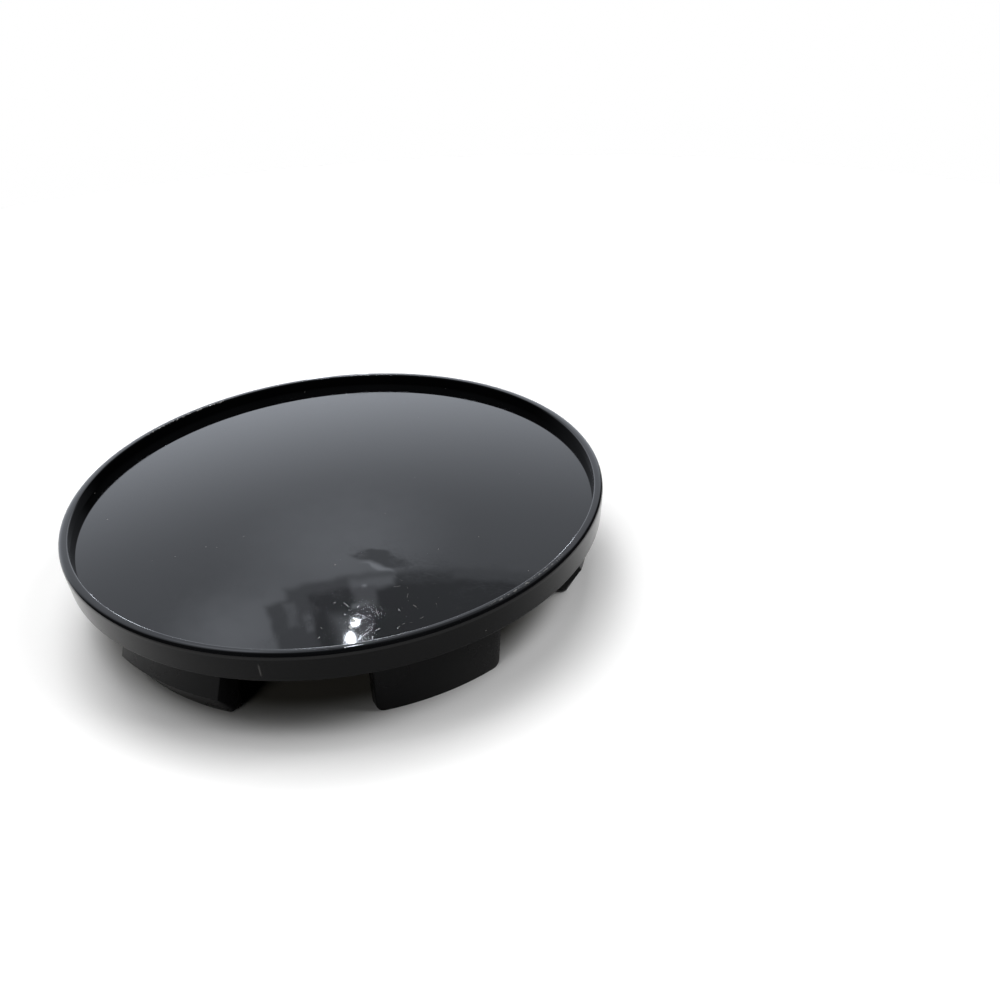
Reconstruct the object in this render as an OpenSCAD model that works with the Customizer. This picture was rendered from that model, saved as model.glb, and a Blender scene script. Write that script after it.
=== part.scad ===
// Round snap-in centre cap for a wheel, moulded in one piece.
// Z = 0 is the plane of the clip ends, and +Z points out of the wheel.
// All sizes are in millimetres, and angles are in degrees.

/* [Face] */
// Outside diameter of the cap
cap_d = 60; // [48:0.5:80]
// Height of the side wall, from the seat to the top of the rim
side_h = 3.25; // [2.7:0.05:5]
// How much the radius of the side wall shrinks from the rim to the seat
side_draft = 0.2; // [0.05:0.05:0.6]
// Width of the raised rim around the face
rim_w = 1; // [1:0.05:3]
// Rounding of the rim's outer edge
rim_round = 0.5; // [0.2:0.05:0.7]
// Rounding of the rim's inner edge
lip_round = 0.2; // [0.1:0.05:0.4]
// Depth of the face below the rim, at the edge of the face
face_drop = 1.3; // [0.6:0.05:1.6]
// Rise of the domed face from its edge to its centre
face_rise = 1.4; // [0.4:0.05:2.4]
// Thickness of the disc at its centre
web_t = 1.4; // [0.8:0.1:2.4]

/* [Clips] */
// Number of clips around the ring, half of them barbed
clip_count = 6; // [4:2:8]
// Length of a clip, from the seat to its free end
clip_h = 7.7; // [6:0.1:12]
// Width of the flat seat around the clips, measured at their free ends' circle
seat_w = 3.3; // [2.2:0.1:6]
// Thickness of a clip at its free end
clip_t = 1; // [0.7:0.05:1.6]
// Angle that one clip spans
clip_arc = 29.5; // [16:0.5:36]
// Rounding of the corners at the free end
clip_round = 0.8; // [0.3:0.05:1.5]
// How far a barb stands out from the free end's circle
barb_out = 1.7; // [0.6:0.1:2]
// Distance from the free end to the edge of the barb
barb_drop = 3.1; // [2:0.1:4]
// How far the neck under a barb stands out from the free end's circle
neck_out = 0.4; // [0.1:0.1:0.5]
// Height of the neck above the seat
neck_h = 1.4; // [1:0.1:1.8]
// How far a clip's root stands out from the free end's circle
root_out = 1.1; // [0.6:0.1:1.3]
// Height of the thickened root above the seat
root_h = 0.8; // [0.4:0.1:0.9]
// How much wider the root is than the clip, at each end
root_side = 0.35; // [0.1:0.05:0.8]

/* [Back] */
// Thickness of a rib
rib_t = 0.7; // [0.5:0.05:1.2]
// How far the ribs' edges lie inside the seat's plane
rib_inset = 0.1; // [0.05:0.05:0.5]
// Outside diameter of the central ring
ring_d = 13.6; // [9:0.1:20]
// Wall of the central ring
ring_t = 1.15; // [0.8:0.05:2]
// How far the central ring stands out past the seat's plane
ring_rise = 0.3; // [0:0.05:1]
// Diameter of the small pads behind the plain clips
pad_d = 4; // [2:0.1:5]
// Height of the pads above the hollowed floor
pad_h = 0.45; // [0.2:0.05:1]
// Gap between a pad and the clip that it lies behind
pad_gap = 1.8; // [0.5:0.1:6]

/* [Hidden] */
$fn = 180;

// Depth to which the ribs, ring, pads and clips run into the disc
sink = 0.4;
// Pieces of a full circle for the shallow domes, whose radius is large
dome_fn = 1440;
// Pieces of a full circle for the small roundings
round_fn = 48;

cap_r = cap_d / 2;
seat_z = clip_h;
seat_r = cap_r - side_draft;
rim_z = seat_z + side_h;
face_r = cap_r - rim_w;
face_z = rim_z - face_drop;
crown_z = face_z + face_rise;

tip_r = seat_r - seat_w;
clip_in_r = tip_r - clip_t;
clip_half_w = tip_r * sin(clip_arc / 2);
clip_pitch = 360 / clip_count;

// The floor hollows from the clip circle inwards and leaves web_t at the centre
floor_r = tip_r;
floor_dip = crown_z - web_t - seat_z;
ring_r = ring_d / 2;
pad_r = clip_in_r - pad_gap - pad_d / 2;

// Radius of the sphere whose cap has this edge radius and this rise
function dome_radius(edge_r, rise) = (edge_r * edge_r + rise * rise) / (2 * rise);

// Height of the hollowed floor at a distance from the axis
function floor_z(r) =
    let (s = dome_radius(floor_r, floor_dip))
    seat_z + floor_dip - s + sqrt(s * s - r * r);

// Half section of a shallow dome with its edge at height z, and of a disc under it
module dome_profile(edge_r, rise, z, depth) {
    s = dome_radius(edge_r, rise);
    intersection() {
        translate([0, z + rise - s]) circle(r = s, $fn = dome_fn);
        translate([0, z - depth]) square([edge_r, depth + rise]);
    }
}

// Half section of the disc and its raised rim, before the back is hollowed
module face_profile() {
    difference() {
        union() {
            polygon([
                [0, seat_z],
                [seat_r, seat_z],
                [cap_r, rim_z - rim_round],
                [cap_r - rim_round, rim_z],
                [0, rim_z]
            ]);
            translate([cap_r - rim_round, rim_z - rim_round]) circle(r = rim_round, $fn = round_fn);
        }
        translate([0, face_z]) square([face_r, side_h]);
        difference() {
            translate([face_r - sink, rim_z - lip_round]) square([sink + lip_round, side_h]);
            translate([face_r + lip_round, rim_z - lip_round]) circle(r = lip_round, $fn = round_fn);
        }
    }
    dome_profile(face_r, face_rise, face_z, sink);
}

// Disc with its raised rim, domed face and hollowed back
module disc() {
    difference() {
        rotate_extrude() face_profile();
        rotate_extrude() dome_profile(floor_r, floor_dip, seat_z, sink);
    }
}

// Section of a barbed clip, measured from the seat towards the free end
module barbed_profile() {
    polygon([
        [clip_in_r, -sink],
        [clip_in_r, clip_h],
        [tip_r, clip_h],
        [tip_r + barb_out, clip_h - barb_drop],
        [tip_r + neck_out, neck_h],
        [tip_r + neck_out, -sink]
    ]);
}

// Section of a plain clip, which only thickens towards the seat
module plain_profile() {
    polygon([
        [clip_in_r, -sink],
        [clip_in_r, clip_h],
        [tip_r, clip_h],
        [tip_r + root_out, 0],
        [tip_r + root_out, -sink]
    ]);
}

// Section of the thickened root of a clip
module root_profile() {
    polygon([
        [clip_in_r, -sink],
        [clip_in_r, root_h / 2],
        [tip_r + neck_out, root_h],
        [tip_r + root_out, 0],
        [tip_r + root_out, -sink]
    ]);
}

// Outline of a clip seen from outside, with rounded corners at the free end
module clip_outline() {
    translate([-clip_half_w, -sink]) square([2 * clip_half_w, clip_h + sink - clip_round]);
    translate([clip_round - clip_half_w, 0]) square([2 * (clip_half_w - clip_round), clip_h]);
    for (side = [-1, 1])
        translate([side * (clip_half_w - clip_round), clip_h - clip_round])
            circle(r = clip_round, $fn = round_fn);
}

// Outline of a clip's root seen from outside, flared towards the seat
module root_outline() {
    flared = clip_half_w + root_side;
    polygon([
        [-flared, -sink],
        [-flared, 0],
        [-clip_half_w, root_h],
        [clip_half_w, root_h],
        [flared, 0],
        [flared, -sink]
    ]);
}

// A ring of the section in child 0, cut to the outline in child 1 as seen from +X
module cut_ring() {
    intersection() {
        rotate([0, 0, -clip_arc]) rotate_extrude(angle = 2 * clip_arc) children(0);
        rotate([90, 0, 90]) linear_extrude(cap_r) children(1);
    }
}

// One clip with its free end up and the seat at Z = 0
module clip(barbed) {
    cut_ring() {
        if (barbed) barbed_profile(); else plain_profile();
        clip_outline();
    }
    cut_ring() {
        root_profile();
        root_outline();
    }
}

// Ring of clips, barbed and plain in turn
module clips() {
    translate([0, 0, seat_z]) mirror([0, 0, 1])
        for (i = [0 : clip_count - 1])
            rotate([0, 0, i * clip_pitch]) clip(i % 2 == 0);
}

// Thin ribs that run from the central ring to the seat, between the clips
module ribs() {
    for (i = [0 : clip_count - 1])
        rotate([0, 0, (i + 0.5) * clip_pitch])
            translate([ring_r - ring_t / 2, -rib_t / 2, seat_z + rib_inset])
                cube([floor_r - ring_r + ring_t / 2, rib_t, floor_dip + sink]);
}

// Central ring on the back of the disc
module ring() {
    translate([0, 0, seat_z - ring_rise]) difference() {
        cylinder(r = ring_r, h = ring_rise + floor_dip + sink);
        translate([0, 0, -sink]) cylinder(r = ring_r - ring_t, h = ring_rise + floor_dip + 3 * sink);
    }
}

// Small round pads on the floor, one behind each plain clip
module pads() {
    for (i = [1 : 2 : clip_count - 1])
        rotate([0, 0, i * clip_pitch]) translate([pad_r, 0, floor_z(pad_r) - pad_h])
            cylinder(d = pad_d, h = pad_h + 2 * sink);
}

// Everything that stands on the hollowed floor, ended inside the disc
module floor_details() {
    intersection() {
        union() {
            ribs();
            ring();
            pads();
        }
        rotate_extrude() dome_profile(floor_r, floor_dip, seat_z + sink, sink + ring_rise + clip_h / 2);
    }
}

// The whole cap
module centre_cap() {
    color([0.07, 0.075, 0.08]) {
        disc();
        clips();
        floor_details();
    }
}

centre_cap();
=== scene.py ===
"""A snap-in wheel centre cap of glossy black plastic, standing on its clips with its face up."""
import math

import bmesh
import bpy
from mathutils import Matrix, Vector

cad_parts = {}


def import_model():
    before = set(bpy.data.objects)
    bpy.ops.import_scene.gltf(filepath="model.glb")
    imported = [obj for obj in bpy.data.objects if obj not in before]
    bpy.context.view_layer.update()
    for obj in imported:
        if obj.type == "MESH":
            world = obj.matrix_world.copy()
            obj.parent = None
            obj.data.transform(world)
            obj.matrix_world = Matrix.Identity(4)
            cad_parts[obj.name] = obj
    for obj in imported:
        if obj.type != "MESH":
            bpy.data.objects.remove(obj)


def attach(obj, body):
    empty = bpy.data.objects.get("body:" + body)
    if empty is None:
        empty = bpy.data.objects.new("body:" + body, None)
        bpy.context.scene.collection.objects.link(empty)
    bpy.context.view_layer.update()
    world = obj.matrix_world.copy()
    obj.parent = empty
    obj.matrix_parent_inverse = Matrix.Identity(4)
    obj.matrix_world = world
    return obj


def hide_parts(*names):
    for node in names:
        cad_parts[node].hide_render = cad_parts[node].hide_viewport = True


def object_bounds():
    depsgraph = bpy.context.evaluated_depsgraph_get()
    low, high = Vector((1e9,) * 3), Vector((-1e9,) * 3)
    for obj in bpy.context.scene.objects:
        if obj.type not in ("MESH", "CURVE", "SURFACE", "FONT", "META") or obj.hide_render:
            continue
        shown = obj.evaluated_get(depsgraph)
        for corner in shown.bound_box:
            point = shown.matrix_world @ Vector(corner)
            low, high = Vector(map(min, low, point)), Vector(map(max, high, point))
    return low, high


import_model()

CAD_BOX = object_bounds()
MM = 0.001
NODE = "centre_cap"

# Disc, in millimetres
CAP_R = CAD_BOX[1][0] / MM
CROWN_Z = CAD_BOX[1][2] / MM
SEAT_Z = 7.7
SEAT_W = 3.3
SEAT_ROUND = 0.15
SIDE_DRAFT = 0.2
SEAT_R = CAP_R - SIDE_DRAFT
RIM_Z = 10.95
RIM_W = 1.0
# Height over which the rim's outer edge falls, and how late it turns into the side
RIM_ROUND = 0.6
RIM_POWER = 3.4
LIP_ROUND = 0.2
FACE_R = CAP_R - RIM_W
FACE_DROP = 1.3
FACE_Z = RIM_Z - FACE_DROP
# Thickness of the disc at its centre, and the height there of its hollowed back
WEB = 1.4
BACK_Z = CROWN_Z - WEB

# Clips, in millimetres and degrees
TIP_R = SEAT_R - SEAT_W
CLIP_T = 1.0
CLIP_IN_R = TIP_R - CLIP_T
CLIP_ARC = 29.5
CLIP_HALF_W = TIP_R * math.sin(math.radians(CLIP_ARC / 2))
CLIP_ROUND = 0.8
BARB_OUT = 1.7
BARB_DROP = 3.1
NECK_OUT = 0.4
NECK_H = 1.4
ROOT_OUT = 1.1
ROOT_H = 0.8
ROOT_SIDE = 0.35
CLIPS_OF_A_KIND = 3

# Ribs, central ring and pads on the back, in millimetres
RIB_T = 0.7
RIB_INSET = 0.1
RIBS = 6
RING_R = 6.8
RING_T = 1.15
RING_RISE = 0.3
PAD_R = 2.0
PAD_H = 0.45
PAD_GAP = 1.8
PAD_FROM_AXIS = CLIP_IN_R - PAD_GAP - PAD_R
# Depth to which the clips, ribs, ring and pads run into the disc
SINK = 0.4

# Small rounding that a moulded edge has, in millimetres, and its segments
EDGE = 0.1
EDGE_SEGMENTS = 2
# Angles in degrees from which an edge is shaded sharp, and from which it is rounded
SHARP_FROM = 30
ROUNDED_FROM = 35
# Distance in millimetres under which two vertices become one
MERGE = 0.001
# Distance in millimetres from both ends of a straight stretch at which it is held flat
HOLD = 0.06
# Distance in millimetres from the recess wall's radius that still counts as the wall
WALL_SLACK = 0.015

# Steps round a full turn
FULL_TURN = 2 * math.pi
DISC_TURN_STEPS = 360
RING_TURN_STEPS = 120
PAD_TURN_STEPS = 60
# Steps along each stretch of a section, and across a clip
FACE_STEPS = 40
BACK_STEPS = 30
LIP_STEPS = 8
BRIM_STEPS = 20
FOOT_STEPS = 4
EDGE_STEPS = 3
CLIP_STEPS = 14
CORNER_STEPS = 7


# Nodes

def add(tree, kind, inputs=None, **settings):
    """Adds a node to a tree.

    inputs maps a socket's name or number to a value or to another node's socket.
    """
    node = tree.nodes.new(kind)
    for name, value in settings.items():
        setattr(node, name, value)
    for name, value in (inputs or {}).items():
        if isinstance(value, bpy.types.NodeSocket):
            tree.links.new(value, node.inputs[name])
        else:
            node.inputs[name].default_value = value
    return node


def calc(tree, operation, *values, clamp=False):
    """A maths node's result."""
    inputs = dict(enumerate(values))
    return add(tree, "ShaderNodeMath", inputs, operation=operation, use_clamp=clamp).outputs[0]


def off_by(tree, value, middle):
    """How far a value is from a middle one, on either side."""
    return calc(tree, "ABSOLUTE", calc(tree, "SUBTRACT", value, middle))


def far(tree, x, y):
    """Length of the way that x and y give."""
    return calc(tree, "SQRT", calc(tree, "ADD", calc(tree, "POWER", x, 2), calc(tree, "POWER", y, 2)))


def degrees(tree, angle):
    """An angle in degrees."""
    return calc(tree, "MULTIPLY", angle, math.degrees(1))


def ranged(tree, value, low, high, to_low=0.0, to_high=1.0):
    """A value's range mapped to another and held inside it, with soft ends."""
    inputs = {"Value": value, "From Min": low, "From Max": high, "To Min": to_low, "To Max": to_high}
    return add(tree, "ShaderNodeMapRange", inputs, interpolation_type="SMOOTHSTEP").outputs[0]


def mixed_value(tree, share, low, high):
    """A mix of two values, each a socket or a number."""
    return add(tree, "ShaderNodeMix", {0: share, 2: low, 3: high}, data_type="FLOAT").outputs[0]


def mixed(tree, share, low, high):
    """A mix of two colours, each a socket or three numbers."""
    ends = [c if isinstance(c, bpy.types.NodeSocket) else tuple(c) + (1,) for c in (low, high)]
    return add(tree, "ShaderNodeMix", {0: share, 6: ends[0], 7: ends[1]}, data_type="RGBA").outputs[2]


# Sections and curves, in millimetres

def spread(start, end, steps):
    """Evenly spaced values, both ends included."""
    return [start + (end - start) * i / steps for i in range(steps + 1)]


def dome_z(r, edge_r, edge_z, crown_z):
    """Height at r of the shallow dome that passes through its edge and its crown."""
    rise = crown_z - edge_z
    ball = (edge_r**2 + rise**2) / (2 * rise)
    return crown_z - ball + math.sqrt(ball**2 - r**2)


def back_z(r):
    """Height at r of the disc's hollowed back."""
    return dome_z(r, TIP_R, SEAT_Z, BACK_Z)


def arc(centre, radius, start, end, steps):
    """Points of an arc from one angle to another, in degrees."""
    angles = [math.radians(turn) for turn in spread(start, end, steps)]
    return [(centre[0] + radius * math.cos(a), centre[1] + radius * math.sin(a)) for a in angles]


def held(a, b):
    """Points just after a and just before b, which keep a straight stretch flat in smooth shading."""
    share = HOLD / math.dist(a, b)
    return [tuple(a[i] + (b[i] - a[i]) * t for i in (0, 1)) for t in (share, 1 - share)]


def brim_curve(start_r):
    """Top of the rim, which falls gently at first and then turns into the side."""
    curve = []
    for turn in spread(0, math.pi / 2, BRIM_STEPS):
        out = max(0, math.sin(turn)) ** (2 / RIM_POWER)
        up = max(0, math.cos(turn)) ** (2 / RIM_POWER)
        curve.append((start_r + (CAP_R - start_r) * out, RIM_Z - RIM_ROUND + RIM_ROUND * up))
    return curve[1:]


def disc_section():
    """Half section of the disc from the middle of the face, over the rim, to the middle of the back."""
    points = [(r, dome_z(r, FACE_R, FACE_Z, CROWN_Z)) for r in spread(0, FACE_R, FACE_STEPS)]
    lip = arc((FACE_R + LIP_ROUND, RIM_Z - LIP_ROUND), LIP_ROUND, 180, 90, LIP_STEPS)
    brim = brim_curve(FACE_R + LIP_ROUND)
    foot = arc((SEAT_R - SEAT_ROUND, SEAT_Z + SEAT_ROUND), SEAT_ROUND, 0, -90, FOOT_STEPS)
    back = [(r, back_z(r)) for r in spread(TIP_R, 0, BACK_STEPS)]
    for stretch in (lip, brim, foot, back):
        points = points + held(points[-1], stretch[0]) + stretch
    return points


def ring_section():
    """Closed section of the central ring, rounded at its free edge."""
    top = BACK_Z + SINK / 2
    edge = SEAT_Z - RING_RISE
    inner = arc((RING_R - RING_T + EDGE, edge + EDGE), EDGE, 180, 270, EDGE_STEPS)
    outer = arc((RING_R - EDGE, edge + EDGE), EDGE, 270, 360, EDGE_STEPS)
    return [(RING_R, top), (RING_R - RING_T, top)] + inner + held(inner[-1], outer[0]) + outer


def pad_section():
    """Half section of a pad about its own axis, rounded at its free edge."""
    base = back_z(PAD_FROM_AXIS)
    edge = base - PAD_H
    rim = arc((PAD_R - EDGE, edge + EDGE), EDGE, 270, 360, EDGE_STEPS)
    return [(0, edge)] + held((0, edge), rim[0]) + rim + [(PAD_R, base + SINK), (0, base + SINK)]


def clip_section(*outside):
    """Section of a clip: its inner side, its free end, the given points of its outside, and its root."""
    inside = [(CLIP_IN_R, -SINK), (CLIP_IN_R, ROOT_H), (CLIP_IN_R, SEAT_Z), (TIP_R, SEAT_Z)]
    return inside + list(outside) + [(TIP_R + ROOT_OUT, 0), (TIP_R + ROOT_OUT, -SINK)]


def barbed_section():
    """Section of a barbed clip, which has a ramp, a barb and a neck."""
    neck_r = TIP_R + NECK_OUT
    return clip_section((TIP_R + BARB_OUT, SEAT_Z - BARB_DROP), (neck_r, NECK_H), (neck_r, ROOT_H))


def plain_section():
    """Section of a plain clip, which thickens evenly towards its root."""
    return clip_section((TIP_R + ROOT_OUT * (1 - ROOT_H / SEAT_Z), ROOT_H))


# Meshes

def finished(mesh):
    """Merges doubles, turns every face outwards and shades the mesh smooth up to its real edges."""
    work = bmesh.new()
    work.from_mesh(mesh)
    bmesh.ops.remove_doubles(work, verts=work.verts, dist=MERGE * MM)
    bmesh.ops.recalc_face_normals(work, faces=work.faces)
    work.to_mesh(mesh)
    work.free()
    mesh.shade_smooth()
    mesh.set_sharp_from_angle(angle=math.radians(SHARP_FROM))


def new_object(name, vertices, edges=(), faces=()):
    """An object at the origin, from vertices in millimetres."""
    mesh = bpy.data.meshes.new(name)
    mesh.from_pydata([tuple(c * MM for c in v) for v in vertices], list(edges), list(faces))
    piece = bpy.data.objects.new(name, mesh)
    bpy.context.scene.collection.objects.link(piece)
    return piece


def section_object(name, points, closed=False):
    """A section as a line of edges in the XZ plane."""
    count = len(points)
    edges = [(i, (i + 1) % count) for i in range(count if closed else count - 1)]
    return new_object(name, [(r, 0, z) for r, z in points], edges)


def geometry_tree(name, sizes):
    """A geometry tree with a Geometry input and output, and one named input for each size."""
    tree = bpy.data.node_groups.new(name, "GeometryNodeTree")
    tree.interface.new_socket("Geometry", in_out="INPUT", socket_type="NodeSocketGeometry")
    for label, kind in sizes.items():
        tree.interface.new_socket(label, in_out="INPUT", socket_type=kind)
    tree.interface.new_socket("Geometry", in_out="OUTPUT", socket_type="NodeSocketGeometry")
    return tree


def turning_tree():
    """Sweeps a section in the XZ plane round the Z axis, and gives each of its sides a finish.

    Everything has the plain Material, and then the side, the face and the recess wall get their own.
    """
    tree = geometry_tree("Turned round the axis", {
        "Steps": "NodeSocketInt",
        "Path Radius": "NodeSocketFloat",
        "Side Above": "NodeSocketFloat",
        "Face Above": "NodeSocketFloat",
        "Face Within": "NodeSocketFloat",
        "Wall Radius": "NodeSocketFloat",
        "Wall Below": "NodeSocketFloat",
        "Material": "NodeSocketMaterial",
        "Side Material": "NodeSocketMaterial",
        "Face Material": "NodeSocketMaterial",
        "Wall Material": "NodeSocketMaterial",
    })
    sizes = add(tree, "NodeGroupInput").outputs
    place = add(tree, "GeometryNodeInputPosition").outputs[0]
    axes = add(tree, "ShaderNodeSeparateXYZ", {0: place}).outputs
    from_path = calc(tree, "SUBTRACT", axes["X"], sizes["Path Radius"])
    downwards = calc(tree, "MULTIPLY", axes["Z"], -1.0)
    flat = add(tree, "ShaderNodeCombineXYZ", {"X": from_path, "Y": downwards}).outputs[0]
    section = add(tree, "GeometryNodeSetPosition", {"Geometry": sizes["Geometry"], "Position": flat})
    profile = add(tree, "GeometryNodeMeshToCurve", {"Mesh": section.outputs[0]}).outputs[0]
    circle = add(tree, "GeometryNodeCurvePrimitiveCircle",
                 {"Resolution": sizes["Steps"], "Radius": sizes["Path Radius"]}, mode="RADIUS").outputs[0]
    upright = add(tree, "GeometryNodeSetCurveNormal", {"Curve": circle}, mode="Z_UP").outputs[0]
    turned = add(tree, "GeometryNodeCurveToMesh", {"Curve": upright, "Profile Curve": profile}).outputs[0]
    merged = add(tree, "GeometryNodeMergeByDistance", {"Geometry": turned, "Distance": MERGE * MM})
    painted = add(tree, "GeometryNodeRealizeInstances", {0: merged.outputs[0]})
    radius = far(tree, axes["X"], axes["Y"])
    above_side = calc(tree, "GREATER_THAN", axes["Z"], sizes["Side Above"])
    on_top = calc(tree, "GREATER_THAN", axes["Z"], sizes["Face Above"])
    within = calc(tree, "LESS_THAN", radius, sizes["Face Within"])
    on_face = calc(tree, "MAXIMUM", on_top, calc(tree, "MULTIPLY", above_side, within))
    near_wall = calc(tree, "LESS_THAN", off_by(tree, radius, sizes["Wall Radius"]), WALL_SLACK * MM)
    below_lip = calc(tree, "LESS_THAN", axes["Z"], sizes["Wall Below"])
    on_wall = calc(tree, "MULTIPLY", calc(tree, "MULTIPLY", near_wall, below_lip), above_side)
    finishes = {
        "Material": True,
        "Side Material": above_side,
        "Face Material": on_face,
        "Wall Material": on_wall,
    }
    for material, chosen in finishes.items():
        painted = add(tree, "GeometryNodeSetMaterial", {
            "Geometry": painted.outputs[0],
            "Selection": chosen,
            "Material": sizes[material],
        })
    add(tree, "NodeGroupOutput", {0: painted.outputs[0]})
    return tree


def copying_tree():
    """Repeats a piece round the Z axis."""
    tree = geometry_tree("Copies round the axis", {
        "Count": "NodeSocketInt",
        "First Angle": "NodeSocketFloat",
        "Material": "NodeSocketMaterial",
    })
    sizes = add(tree, "NodeGroupInput").outputs
    points = add(tree, "GeometryNodeMeshLine", {"Count": sizes["Count"], "Offset": (0, 0, 0)}).outputs[0]
    step = calc(tree, "DIVIDE", FULL_TURN, sizes["Count"])
    index = add(tree, "GeometryNodeInputIndex").outputs[0]
    angle = calc(tree, "MULTIPLY_ADD", index, step, sizes["First Angle"])
    turn = add(tree, "ShaderNodeCombineXYZ", {"Z": angle}).outputs[0]
    copies = add(tree, "GeometryNodeInstanceOnPoints",
                 {"Points": points, "Instance": sizes["Geometry"], "Rotation": turn}).outputs[0]
    real = add(tree, "GeometryNodeRealizeInstances", {0: copies}).outputs[0]
    painted = add(tree, "GeometryNodeSetMaterial", {"Geometry": real, "Material": sizes["Material"]})
    add(tree, "NodeGroupOutput", {0: painted.outputs[0]})
    return tree


def baked(piece):
    """Puts the result of a piece's modifiers in its mesh, and removes them."""
    shape = piece.evaluated_get(bpy.context.evaluated_depsgraph_get())
    mesh = bpy.data.meshes.new_from_object(shape)
    piece.modifiers.clear()
    piece.data = mesh
    finished(mesh)
    return piece


def with_tree(piece, tree, values):
    """Runs a geometry tree on a piece with the named inputs, and keeps the result as its mesh."""
    modifier = piece.modifiers.new(tree.name, "NODES")
    modifier.node_group = tree
    for socket in tree.interface.items_tree:
        if socket.in_out == "INPUT" and socket.name in values:
            modifier[socket.identifier] = values[socket.name]
    return baked(piece)


def turned_plain(piece, turning, steps, material):
    """Sweeps a section round the Z axis in one finish: no part of it reaches above the crown."""
    return with_tree(piece, turning, {
        "Steps": steps,
        "Path Radius": CAP_R * MM,
        "Side Above": CROWN_Z * MM,
        "Face Above": CROWN_Z * MM,
        "Material": material,
        "Side Material": material,
        "Face Material": material,
    })


def repeated(piece, copying, count, first_angle, material):
    """Repeats a piece round the Z axis in one finish."""
    return with_tree(piece, copying, {"Count": count, "First Angle": first_angle, "Material": material})


def bevelled(piece):
    """Rounds the real edges of a piece."""
    modifier = piece.modifiers.new("Edges", "BEVEL")
    modifier.width = EDGE * MM
    modifier.segments = EDGE_SEGMENTS
    modifier.limit_method = "ANGLE"
    modifier.angle_limit = math.radians(ROUNDED_FROM)
    return baked(piece)


# Pieces of the cap

def disc(turning, back, side, face, wall):
    """Disc with its raised rim, domed face, flat seat and hollowed back."""
    piece = section_object("cap_disc", disc_section())
    return with_tree(piece, turning, {
        "Steps": DISC_TURN_STEPS,
        "Path Radius": CAP_R * MM,
        "Side Above": (SEAT_Z + SEAT_ROUND / 2) * MM,
        "Face Above": (RIM_Z - RIM_ROUND) * MM,
        "Face Within": (FACE_R + LIP_ROUND) * MM,
        "Wall Radius": FACE_R * MM,
        "Wall Below": (RIM_Z - LIP_ROUND) * MM,
        "Material": back,
        "Side Material": side,
        "Face Material": face,
        "Wall Material": wall,
    })


def clip_point(radius, drop, share):
    """A point of a clip.

    drop is its distance from the seat, and share runs from -1 to 1 across the clip.
    """
    flare = ROOT_SIDE * min(1, max(0, 1 - drop / ROOT_H))
    y = share * (CLIP_HALF_W + flare)
    into_corner = max(0, abs(share) * CLIP_HALF_W - (CLIP_HALF_W - CLIP_ROUND))
    end = SEAT_Z - CLIP_ROUND + math.sqrt(max(0, CLIP_ROUND**2 - into_corner**2))
    return (math.sqrt(radius**2 - y**2), y, SEAT_Z - min(drop, end))


def clip(name, section):
    """One clip on the +X axis. The section gives radius and distance from the seat, anticlockwise."""
    middle = spread(CLIP_ROUND / CLIP_HALF_W - 1, 1 - CLIP_ROUND / CLIP_HALF_W, CLIP_STEPS)
    turns = spread(0, math.pi / 2, CORNER_STEPS)[:-1]
    corner = [1 - (1 - math.cos(turn)) * CLIP_ROUND / CLIP_HALF_W for turn in turns]
    columns = [-share for share in corner] + middle + corner[::-1]
    vertices = [clip_point(radius, drop, share) for share in columns for radius, drop in section]
    count = len(section)
    faces = []
    for row in range(0, len(vertices) - count, count):
        for i in range(count):
            j = (i + 1) % count
            faces.append((row + i, row + j, row + count + j, row + count + i))
    faces.append(tuple(range(count))[::-1])
    faces.append(tuple(range(len(vertices) - count, len(vertices))))
    return bevelled(new_object(name, vertices, faces=faces))


def clip_ring(copying, name, section, first_angle, material):
    """Three clips of one kind."""
    return repeated(clip(name, section), copying, CLIPS_OF_A_KIND, first_angle, material)


def ribs(copying, material):
    """Six thin ribs between the central ring and the seat."""
    start, end = RING_R - RING_T / 2, TIP_R
    low, high = SEAT_Z + RIB_INSET, BACK_Z
    half = RIB_T / 2
    corners = [(x, y, z) for x in (start, end) for y in (-half, half) for z in (low, high)]
    faces = [(0, 1, 3, 2), (4, 6, 7, 5), (0, 4, 5, 1), (2, 3, 7, 6), (0, 2, 6, 4), (1, 5, 7, 3)]
    rib = bevelled(new_object("back_ribs", corners, faces=faces))
    return repeated(rib, copying, RIBS, FULL_TURN / RIBS / 2, material)


def ring(turning, material):
    """Central ring on the back."""
    piece = section_object("back_ring", ring_section(), closed=True)
    return turned_plain(piece, turning, RING_TURN_STEPS, material)


def pads(turning, copying, material):
    """Small round pads on the back, one behind each plain clip."""
    piece = section_object("back_pads", pad_section())
    turned_plain(piece, turning, PAD_TURN_STEPS, material)
    piece.data.transform(Matrix.Translation((PAD_FROM_AXIS * MM, 0, 0)))
    return repeated(piece, copying, CLIPS_OF_A_KIND, math.pi / CLIPS_OF_A_KIND, material)


# Finishes, with sizes in millimetres

# Middle of the noise, which runs from 0 to 1
MIDDLE = 0.5
BLACK = (0.0010, 0.0011, 0.0013)
BLACK_WORN = (0.0024, 0.0025, 0.0028)
# Pale tone of dust specks and of the marks, which on the face include painted glints and sparkle
DUST_AND_GLINT = (0.42, 0.41, 0.39)
# Lumps of the uneven gloss, the noise that they span, and how far the gloss ranges
HAZE = 7.0
HAZE_SPAN = (0.3, 0.7)
GLOSS_RANGE = 0.25
# Patches in which dust lies: their size, and the noise over which they set in
DUST_PATCH = 14.0
DUSTY = (0.35, 0.65)
# Dust specks: their spacing, their largest radius and how pale they are
SPECK_SPACING = 1.3
SPECK_R = 0.11
SPECK_PALE = 0.22
# A mark's paleness, how much roughness a mark adds, and a scratch's share of that
MARK_PALE = 0.5
MARK_ROUGH = 0.3
SCRATCH_ROUGH = 0.5
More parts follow.
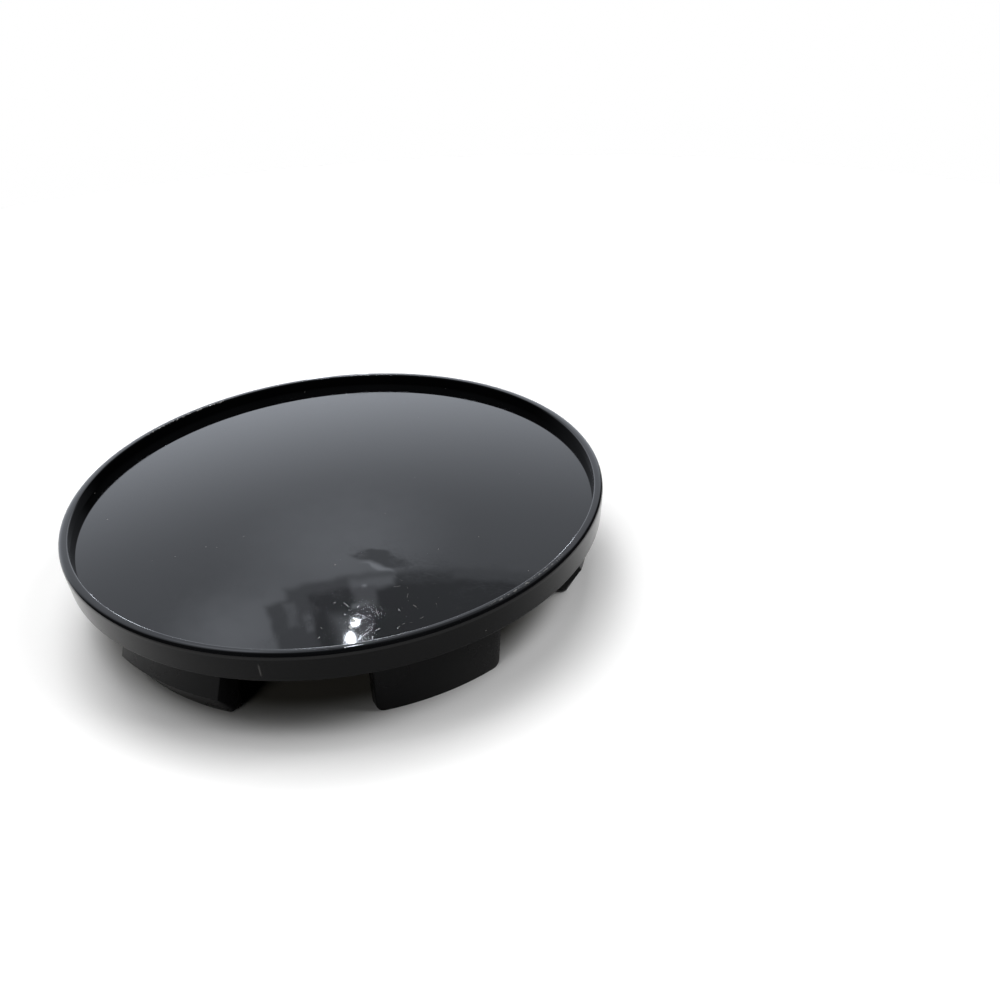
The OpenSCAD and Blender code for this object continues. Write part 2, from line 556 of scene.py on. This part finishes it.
# Strength and height of the bump, and the shares in it of raised marks and of scratches
BUMP = 0.5
BUMP_HEIGHT = 0.02
MARK_RAISED = 0.5
SCRATCH_DEEP = 0.06
# Fine scratches: their directions in radians, length, spacing, full and solid half width
SCRATCH_TURNS = (0.3, 1.1, 1.9, 2.7)
SCRATCH_LENGTH = 2.4
SCRATCH_SPACING = 0.8
SCRATCH_W = 0.012
SCRATCH_SOLID_W = SCRATCH_W * 0.4
# Their patches: size, and the noise over which they set in
SCRATCH_PATCH = 4.0
SCRATCHED = (0.42, 0.62)
# Stretches of the rim painted pale: the first is wear, the other three are painted highlights, the lamps'
# glints on the rim's edge.
# Bearing from +X and half length in degrees, radius and how marked they are
WORN_AND_GLINT_STRETCHES = (
    (141, 15, CAP_R - 0.8, 1.0),
    # Painted highlights, not wear: the lamps' glints on the rim's edge
    (-41, 12, CAP_R - 0.55, 0.45),
    (92, 4, CAP_R - 0.2, 0.8),
    (-77, 11, CAP_R - 0.92, 1.3),
)
# Share of a stretch's half length over which its mark, wear or painted glint, is full
STRETCH_SOLID = 0.6
# How far the line of wear and painted glint wanders, over what length, and its full and solid half width
WANDER = 0.5
WANDER_LENGTH = 1.2
RIM_LINE_W = 0.13
RIM_LINE_SOLID_W = 0.05
# Pieces that the line is broken into, nicks of wear and dashes of painted glint: their size, and the
# noise over which they set in
BREAK_SIZE = 0.3
BREAKS_AT = (0.48, 0.62)
# How far below the rim's top the wear and the painted glints end, and where they are full
RIM_MARK_TO = 0.5
RIM_MARK_FROM = 0.4
# Patches of the face where the lamps reflect, with pale specks and short marks: partly real specks and
# scratches, partly a painted highlight for the lamps' sparkle in them.
# Place, reach and how marked they are
SPARKLE_PATCHES = ((5.0, -25.0, 5.0, 0.9), (10.0, -22.5, 6.0, 0.3))
# Share of a patch's reach over which the marks are full
SPARKLE_PATCH_SOLID = 0.3
# Fine specks in them: spacing, largest radius and share of the places that have one
FINE_SPECKS = (0.5, 0.06, 0.4)
# Short marks in them: size of their curves, and full and solid half width
CURL = 2.2
CURL_W = 0.016
CURL_SOLID_W = 0.006
# Size of the pieces that are kept of those curves, and the noise over which they set in
CURL_PIECE = 0.7
CURL_KEPT = (0.6, 0.66)
# Scuff on the side: place, full and solid half width, strength, and where it fades at both ends
SCUFF_X = -2.1
SCUFF_W = 0.12
SCUFF_SOLID_W = 0.03
SCUFF_STRENGTH = 0.2
SCUFF_FOOT = (SEAT_Z + 0.5, SEAT_Z + 1.0)
SCUFF_HEAD = (RIM_Z - 0.9, RIM_Z - 1.5)


def place_mm(tree, turn=0.0, scale=(1, 1, 1)):
    """Place on the object in millimetres, turned about Z and then scaled along each axis."""
    place = add(tree, "ShaderNodeTexCoord").outputs["Object"]
    turned = add(tree, "ShaderNodeMapping", {"Vector": place, "Rotation": (0, 0, turn)}).outputs[0]
    scaled = {"Vector": turned, "Scale": tuple(s / MM for s in scale)}
    return add(tree, "ShaderNodeMapping", scaled).outputs[0]


def cloud(tree, place, size, detail=2.0):
    """Soft noise around 0.5 with lumps of about that size."""
    inputs = {"Vector": place, "Scale": 1 / size, "Detail": detail}
    return add(tree, "ShaderNodeTexNoise", inputs).outputs["Fac"]


def specks(tree, place, spacing, largest, share):
    """Mask of round specks in a share of the cells of that spacing, up to that radius."""
    cells = add(tree, "ShaderNodeTexVoronoi", {"Vector": place, "Scale": 1 / spacing})
    chance = add(tree, "ShaderNodeSeparateColor", {0: cells.outputs["Color"]}).outputs
    radius = calc(tree, "MULTIPLY", chance[1], largest / spacing)
    inside = calc(tree, "LESS_THAN", cells.outputs["Distance"], radius)
    return calc(tree, "MULTIPLY", inside, calc(tree, "GREATER_THAN", chance[0], 1 - share))


def hairlines(tree, turn):
    """Mask of fine scratches along one direction."""
    across = 1 / SCRATCH_SPACING
    stretched = place_mm(tree, turn, (1 / SCRATCH_LENGTH, across, across))
    lines = cloud(tree, stretched, size=1.0, detail=1.0)
    return ranged(tree, off_by(tree, lines, MIDDLE), SCRATCH_W, SCRATCH_SOLID_W)


def scratches(tree, strongest):
    """Mask of fine scratches in several directions, in patches."""
    lines = 0.0
    for turn in SCRATCH_TURNS:
        lines = calc(tree, "MAXIMUM", lines, hairlines(tree, turn))
    patch = ranged(tree, cloud(tree, place_mm(tree), SCRATCH_PATCH, detail=1.0), *SCRATCHED)
    return calc(tree, "MULTIPLY", calc(tree, "MULTIPLY", lines, patch), strongest)


def rim_wear_and_glints(tree, place):
    """Mask of the small nicks along the worn stretch of the rim, and of the painted highlights along the
    others: the lamps' glints, broken into dashes.
    """
    axes = add(tree, "ShaderNodeSeparateXYZ", {0: place}).outputs
    radius = far(tree, axes["X"], axes["Y"])
    bearing = degrees(tree, calc(tree, "ARCTAN2", axes["Y"], axes["X"]))
    wave = calc(tree, "SUBTRACT", cloud(tree, place, WANDER_LENGTH), MIDDLE)
    wandering = calc(tree, "ADD", radius, calc(tree, "MULTIPLY", wave, WANDER))
    wear_and_glints = 0.0
    for centre, half, at_radius, dense in WORN_AND_GLINT_STRETCHES:
        along = ranged(tree, off_by(tree, bearing, centre), half, half * STRETCH_SOLID)
        line = ranged(tree, off_by(tree, wandering, at_radius), RIM_LINE_W, RIM_LINE_SOLID_W)
        stretch = calc(tree, "MULTIPLY", along, line)
        wear_and_glints = calc(tree, "MAXIMUM", wear_and_glints, calc(tree, "MULTIPLY", stretch, dense))
    broken = ranged(tree, cloud(tree, place, BREAK_SIZE, detail=1.0), *BREAKS_AT)
    high = ranged(tree, axes["Z"], RIM_Z - RIM_MARK_TO, RIM_Z - RIM_MARK_FROM)
    return calc(tree, "MULTIPLY", calc(tree, "MULTIPLY", wear_and_glints, broken), high)


def short_marks(tree, place):
    """Mask of a few short curved scratches."""
    off = off_by(tree, cloud(tree, place, CURL, detail=0.0), MIDDLE)
    kept = ranged(tree, cloud(tree, place, CURL_PIECE, detail=0.0), *CURL_KEPT)
    return calc(tree, "MULTIPLY", ranged(tree, off, CURL_W, CURL_SOLID_W), kept)


def face_wear_and_glints(tree, place):
    """Mask of the rim's wear and painted glints, and of the fine marks and specks painted pale where the
    lamps reflect in the face, partly as a painted highlight of their sparkle.
    """
    wear_and_glints = rim_wear_and_glints(tree, place)
    for x, y, reach, strength in SPARKLE_PATCHES:
        patch_middle = {0: place, 1: (x, y, CROWN_Z)}
        # Painted highlight: pale specks and curls, in part the lamps' sparkle, in patches where the lamps
        # reflect
        away = add(tree, "ShaderNodeVectorMath", patch_middle, operation="DISTANCE").outputs["Value"]
        patch = calc(tree, "MULTIPLY", ranged(tree, away, reach, reach * SPARKLE_PATCH_SOLID), strength)
        fine = calc(tree, "MAXIMUM", specks(tree, place, *FINE_SPECKS), short_marks(tree, place))
        wear_and_glints = calc(tree, "MAXIMUM", wear_and_glints, calc(tree, "MULTIPLY", fine, patch))
    return wear_and_glints


def scuff(tree, place):
    """Mask of one short upright scuff on the side."""
    axes = add(tree, "ShaderNodeSeparateXYZ", {0: place}).outputs
    off = off_by(tree, axes["X"], SCUFF_X)
    line = ranged(tree, off, SCUFF_W, SCUFF_SOLID_W, 0, SCUFF_STRENGTH)
    front = calc(tree, "LESS_THAN", axes["Y"], 0)
    foot = ranged(tree, axes["Z"], *SCUFF_FOOT)
    head = ranged(tree, axes["Z"], *SCUFF_HEAD)
    return calc(tree, "MULTIPLY", calc(tree, "MULTIPLY", line, front), calc(tree, "MULTIPLY", foot, head))


def finish(name, roughness, specular, marks=None, grain=5.0, relief=0.08, lines=0.0, dust=0.25):
    """Black moulded plastic: an uneven gloss, fine scratches, dust, surface grain and its own marks,
    which on the face are partly painted highlights.
    """
    material = bpy.data.materials.new(name)
    material.use_nodes = True
    tree = material.node_tree
    shader = tree.nodes["Principled BSDF"]
    place = place_mm(tree)
    haze = cloud(tree, place, HAZE, detail=4.0)
    dusty = ranged(tree, cloud(tree, place, DUST_PATCH), *DUSTY)
    speck = calc(tree, "MULTIPLY", specks(tree, place, SPECK_SPACING, SPECK_R, dust), dusty)
    scratch = scratches(tree, lines)
    mark = marks(tree, place) if marks else 0.0
    tone = mixed(tree, haze, BLACK, BLACK_WORN)
    tone = mixed(tree, calc(tree, "MULTIPLY", speck, SPECK_PALE), tone, DUST_AND_GLINT)
    # Marks painted pale: wear and scuffs, and on the face painted highlights as well
    tone = mixed(tree, calc(tree, "MULTIPLY", mark, MARK_PALE), tone, DUST_AND_GLINT)
    spot = calc(tree, "MAXIMUM", speck, mark)
    rough = calc(tree, "MAXIMUM", spot, calc(tree, "MULTIPLY", scratch, SCRATCH_ROUGH))
    smoothest, roughest = roughness * (1 - GLOSS_RANGE), roughness * (1 + GLOSS_RANGE)
    gloss = ranged(tree, haze, *HAZE_SPAN, smoothest, roughest)
    gloss = calc(tree, "ADD", gloss, calc(tree, "MULTIPLY", rough, MARK_ROUGH), clamp=True)
    height = calc(tree, "MULTIPLY", cloud(tree, place, grain), relief)
    height = calc(tree, "ADD", height, calc(tree, "MULTIPLY", spot, MARK_RAISED))
    height = calc(tree, "SUBTRACT", height, calc(tree, "MULTIPLY", scratch, SCRATCH_DEEP))
    bump = add(tree, "ShaderNodeBump", {"Strength": BUMP, "Distance": BUMP_HEIGHT * MM, "Height": height})
    tree.links.new(tone, shader.inputs["Base Color"])
    tree.links.new(gloss, shader.inputs["Roughness"])
    tree.links.new(bump.outputs[0], shader.inputs["Normal"])
    shader.inputs["Specular IOR Level"].default_value = specular
    return material


# Floor, in millimetres

FLOOR_R = 200.0
FLOOR_STEPS = 72
# Tones of the floor: as it lights the cap, as the camera sees it, and as the gloss mirrors it far off and
# near, where shade is painted into the mirrored floor
FLOOR_WHITE = (0.86, 0.86, 0.855)
FLOOR_SEEN = (1.0, 1.0, 1.0)
FLOOR_MIRRORED = (0.85, 0.85, 0.85)
FLOOR_MIRRORED_SHADED_NEAR = (0.34, 0.34, 0.34)
# Painted shade: the mirrored floor is darker towards the viewer, before a line that leans by this slope
NEAR_SLOPE = -0.22
NEAR_TO = -36
NEAR_FROM = -4
# Painted shade: tone of the floor deep under the cap, and where it begins and is full, from a point near
# the axis
PAINTED_SHADE_UNDER_CAP = (0.085, 0.08, 0.068)
UNDER_CENTRE = (-1.5, -0.3, 0)
UNDER_FROM = 29.0
UNDER_TO = 23.0


def floor():
    """Plain pale round floor, which the camera sees as white outside the shadow, like the background.
    Shade is painted on it deep under the cap, and into its reflection towards the viewer.
    """
    turns = spread(0, FULL_TURN, FLOOR_STEPS)[:-1]
    edge = [(FLOOR_R * math.cos(turn), FLOOR_R * math.sin(turn), 0) for turn in turns]
    plane = new_object("floor", edge, faces=[tuple(range(FLOOR_STEPS))])
    material = bpy.data.materials.new("pale floor")
    material.use_nodes = True
    tree = material.node_tree
    tree.nodes.remove(tree.nodes["Principled BSDF"])
    path = add(tree, "ShaderNodeLightPath").outputs
    axes = add(tree, "ShaderNodeSeparateXYZ", {0: place_mm(tree)}).outputs
    ahead = calc(tree, "MULTIPLY_ADD", axes["X"], NEAR_SLOPE, axes["Y"])
    # Painted shade: the floor as the gloss mirrors it darkens towards the viewer
    mirrored = mixed(tree, ranged(tree, ahead, NEAR_TO, NEAR_FROM), FLOOR_MIRRORED_SHADED_NEAR, FLOOR_MIRRORED)
    tone = mixed(tree, path["Is Glossy Ray"], FLOOR_WHITE, mirrored)
    tone = mixed(tree, path["Is Camera Ray"], tone, FLOOR_SEEN)
    # Painted shade: the floor darkens deep under the cap
    under_middle = {0: place_mm(tree), 1: UNDER_CENTRE}
    away = add(tree, "ShaderNodeVectorMath", under_middle, operation="DISTANCE").outputs["Value"]
    under = ranged(tree, away, UNDER_FROM, UNDER_TO)
    matt = add(tree, "ShaderNodeBsdfDiffuse", {"Color": mixed(tree, under, tone, PAINTED_SHADE_UNDER_CAP)})
    tree.links.new(matt.outputs[0], tree.nodes["Material Output"].inputs["Surface"])
    plane.data.materials.append(material)


# Studio that the gloss reflects, by bearing from the far side and rise above the floor, in degrees

STUDIO_TINT = (0.93, 0.985, 1.085)
# Light that the world gives to matt surfaces: none, because the soft boxes give it
WORLD_LEVEL = 0.0
# Brightness of the far side, low down and high up, and the rises between which it changes
WALL_LOW = 1.6
WALL_HIGH = 1.0
WALL_LOW_TO = 15
WALL_HIGH_FROM = 36
# Glows on the far side: bearing and rise, reach and how bright they are
GLOWS = (((-14, 39.5), 11, 0.62), ((-27, 45.5), 8, 0.9))
# How wavy the reflection is: waves across the whole view, the noise that they span, and their height
WAVES = 34.0
WAVE_SPAN = (0.2, 0.8)
WAVE = 0.45
# Share of the waves that the panels are spared
CALM = 0.65
# Slanting streaks: bearing and rise at both ends, half thickness and brightness
STREAKS = (
    ((-13.4, 38.9), (-7.8, 41.0), 0.75, 0.8),
    ((-12.6, 40.5), (-8.8, 41.7), 0.2, 2.6),
)
# Shares of a streak's length from its middle at which it is thin and thick, and at which it ends
STREAK_TAPER = (0.56, 0.15)
STREAK_END = (0.58, 0.48)
# Soft edge of a streak, from outside to inside
STREAK_EDGE = (0.15, -0.1)
# Panels: first and last bearing, lowest and highest rise, softness and brightness
PANELS = (
    (-20.8, 60, 41.6, 90, 0.45, 0.82),
    (-18.7, 60, 42.9, 90, 0.4, 0.46),
    (-9.0, -3.0, 42.1, 43.1, 0.4, 0.58),
    (-23.1, -18.6, 42.9, 90, 0.35, 0.82),
    (-21.3, -20.2, 43.2, 45.9, 0.3, 1.25),
    (-19.5, -18.6, 44.9, 46.7, 0.3, 1.35),
    (-14.0, -9.3, 42.0, 43.3, 0.5, 1.45),
    (-13.9, -11.3, 43.0, 45.5, 0.4, 1.05),
    (-14.2, -12.2, 44.8, 45.2, 0.2, 2.3),
    (-12.7, -12.3, 42.75, 43.0, 0.15, 3.5),
    (-16.2, -12.6, 45.9, 50.0, 1.1, 1.5),
)
# Lamps: bearing and rise, half their breadth and height, and brightness
LAMPS = (
    (-14.1, 46.8, 0.43, 0.33, 200),
    (-14.85, 48.45, 0.47, 0.68, 200),
    (-14.0, 7.5, 1.0, 2.8, 22),
    (-10.6, 7.5, 0.3, 3.0, 30),
)
# Soft edge of a lamp, from outside to inside, as shares of its size
LAMP_EDGE = (1.2, 0.8)
# Brightness straight up, and the rises between which it sets in
ZENITH = 0.25
ZENITH_FROM = 52
ZENITH_TO = 66
# Brightness on the viewer's side and on the right
BEHIND_CAMERA = 0.04
# Shares of the way along X at which the dark right side sets in, and along Y at which the far side does
RIGHT_FROM = 0.28
RIGHT_TO = 0.5
FAR_SIDE_FROM = 0.15
FAR_SIDE_TO = 0.6


def apart(tree, bearing, rise, spot):
    """Angle in degrees between a direction and a spot given by its bearing and its rise."""
    level = math.cos(math.radians(spot[1]))
    across = calc(tree, "MULTIPLY", calc(tree, "SUBTRACT", bearing, spot[0]), level)
    return far(tree, across, calc(tree, "SUBTRACT", rise, spot[1]))


def streak(tree, bearing, rise, start, end, half):
    """Mask of a short slanting streak from one bearing and rise to another, thickest in its middle."""
    length = end[0] - start[0]
    along = calc(tree, "DIVIDE", calc(tree, "SUBTRACT", bearing, start[0]), length)
    slope = calc(tree, "MULTIPLY_ADD", along, end[1] - start[1], start[1])
    off = off_by(tree, rise, slope)
    from_middle = off_by(tree, along, 0.5)
    reach = ranged(tree, from_middle, *STREAK_TAPER, 0, half)
    inside = ranged(tree, calc(tree, "SUBTRACT", off, reach), *STREAK_EDGE)
    return calc(tree, "MULTIPLY", inside, ranged(tree, from_middle, *STREAK_END))


def panel(tree, bearing, rise, start, end, low, high, soft):
    """Mask of a panel between two bearings and two rises."""
    across = off_by(tree, bearing, (start + end) / 2)
    up = off_by(tree, rise, (low + high) / 2)
    beside = calc(tree, "SUBTRACT", across, (end - start) / 2)
    beyond = calc(tree, "SUBTRACT", up, (high - low) / 2)
    return ranged(tree, calc(tree, "MAXIMUM", beside, beyond), soft, -soft)


def lamp(tree, bearing, rise, centre, middle, half_across, half_up):
    """Mask of a rounded lamp."""
    across = calc(tree, "DIVIDE", calc(tree, "SUBTRACT", bearing, centre), half_across)
    up = calc(tree, "DIVIDE", calc(tree, "SUBTRACT", rise, middle), half_up)
    return ranged(tree, far(tree, across, up), *LAMP_EDGE)


def studio(tree):
    """Brightness of the studio by direction: a bright side beyond the cap, a dim ceiling, and lights."""
    generated = add(tree, "ShaderNodeTexCoord").outputs["Generated"]
    way = add(tree, "ShaderNodeSeparateXYZ", {0: generated}).outputs
    bearing = degrees(tree, calc(tree, "ARCTAN2", way["X"], way["Y"]))
    rise = degrees(tree, calc(tree, "ARCSINE", way["Z"]))
    waves = add(tree, "ShaderNodeTexNoise", {"Scale": WAVES, "Detail": 1.0}).outputs["Color"]
    wave = add(tree, "ShaderNodeSeparateColor", {0: waves}).outputs
    wavy_bearing = calc(tree, "ADD", bearing, ranged(tree, wave[0], *WAVE_SPAN, -WAVE, WAVE))
    wavy_rise = calc(tree, "ADD", rise, ranged(tree, wave[1], *WAVE_SPAN, -WAVE, WAVE))
    calm_bearing = mixed_value(tree, CALM, wavy_bearing, bearing)
    calm_rise = mixed_value(tree, CALM, wavy_rise, rise)
    light = ranged(tree, rise, WALL_HIGH_FROM, WALL_LOW_TO, WALL_HIGH, WALL_LOW)
    for spot, reach, gain in GLOWS:
        glow = ranged(tree, apart(tree, wavy_bearing, wavy_rise, spot), reach, 0, 0, gain)
        light = calc(tree, "ADD", light, glow)
    for *line, brightness in STREAKS:
        light = mixed_value(tree, streak(tree, wavy_bearing, wavy_rise, *line), light, brightness)
    for *edges, brightness in PANELS:
        light = mixed_value(tree, panel(tree, calm_bearing, calm_rise, *edges), light, brightness)
    for *shape, brightness in LAMPS:
        light = mixed_value(tree, lamp(tree, bearing, rise, *shape), light, brightness)
    light = mixed_value(tree, ranged(tree, wavy_rise, ZENITH_FROM, ZENITH_TO), light, ZENITH)
    light = mixed_value(tree, ranged(tree, way["X"], RIGHT_FROM, RIGHT_TO), light, BEHIND_CAMERA)
    return mixed_value(tree, ranged(tree, way["Y"], FAR_SIDE_FROM, FAR_SIDE_TO), BEHIND_CAMERA, light)


def world():
    """A white background for the camera, and the studio that the gloss reflects."""
    sky = bpy.data.worlds.new("studio")
    bpy.context.scene.world = sky
    sky.use_nodes = True
    tree = sky.node_tree
    path = add(tree, "ShaderNodeLightPath").outputs
    reflected = calc(tree, "MAXIMUM", path["Is Glossy Ray"], path["Is Transmission Ray"])
    level = mixed_value(tree, reflected, WORLD_LEVEL, studio(tree))
    level = mixed_value(tree, path["Is Camera Ray"], level, 1.0)
    tint = mixed(tree, reflected, (1, 1, 1), STUDIO_TINT)
    background = tree.nodes["Background"]
    tree.links.new(tint, background.inputs["Color"])
    tree.links.new(level, background.inputs["Strength"])


# Soft boxes by bearing and rise in degrees, with their size in metres and how bright their face is
SOFT_BOXES = (
    (0, 75, 0.3, 4.24),
    (240, 75, 0.3, 1.57),
    (330, 55, 0.3, 3.49),
    (90, 45, 0.3, 4.93),
    (270, 55, 0.3, 1.84),
    (210, 15, 0.2, 7.22),
)
# Their distance from the cap, in metres
BOX_AWAY = 0.55


def soft_box(bearing, rise, size, brightness):
    """A square lamp aimed at the cap, which lights it without showing in the gloss."""
    turn, lift = math.radians(bearing), math.radians(rise)
    way = Vector((math.sin(turn) * math.cos(lift), math.cos(turn) * math.cos(lift), math.sin(lift)))
    place = BOX_AWAY * way
    light = bpy.data.lights.new("soft box", "AREA")
    light.shape = "SQUARE"
    light.size = size
    light.energy = brightness * math.pi * size**2
    holder = bpy.data.objects.new("soft box", light)
    aimed = (-place).to_track_quat("-Z", "Y").to_matrix().to_4x4()
    holder.matrix_world = Matrix.Translation(place) @ aimed
    holder.visible_glossy = False
    bpy.context.scene.collection.objects.link(holder)


# Camera: place and nearest seen distance in metres, angles in radians, lens and sensor in millimetres
CAMERA_PLACE = (0.024656, -0.100004, 0.069449)
NEAREST = 0.005
HEADING = math.radians(3.5777)
PITCH = math.radians(31.4204)
ROLL = math.radians(3.0473)
LENS = 37.21
SENSOR = 36


def camera():
    """Camera at the photograph's viewing angle."""
    lens = bpy.data.cameras.new("camera")
    lens.sensor_width = SENSOR
    lens.lens = LENS
    lens.clip_start = NEAREST
    holder = bpy.data.objects.new("camera", lens)
    turned = Matrix.Rotation(HEADING, 4, "Z") @ Matrix.Rotation(math.pi / 2 - PITCH, 4, "X")
    holder.matrix_world = Matrix.Translation(CAMERA_PLACE) @ turned @ Matrix.Rotation(-ROLL, 4, "Z")
    bpy.context.scene.collection.objects.link(holder)
    bpy.context.scene.camera = holder


def build():
    """Makes the cap, the floor, the light and the camera."""
    face = finish("polished black", roughness=0.028, specular=0.5, marks=face_wear_and_glints, lines=0.6)
    side = finish("glossy moulded side", roughness=0.11, specular=0.24, marks=scuff, lines=0.4)
    wall = finish("moulded recess wall", roughness=0.12, specular=0.08)
    back = finish("satin moulded back", roughness=0.26, specular=0.2, grain=0.3, relief=0.5, dust=0.12)
    turning, copying = turning_tree(), copying_tree()
    cap = [
        disc(turning, back, side, face, wall),
        clip_ring(copying, "barbed_clips", barbed_section(), 0.0, back),
        clip_ring(copying, "plain_clips", plain_section(), math.pi / CLIPS_OF_A_KIND, back),
        ribs(copying, back),
        ring(turning, back),
        pads(turning, copying, back),
    ]
    for piece in cap:
        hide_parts(NODE)
        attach(piece, "root")
    floor()
    world()
    for box in SOFT_BOXES:
        soft_box(*box)
    camera()
    bpy.context.scene.view_settings.view_transform = "Standard"


build()
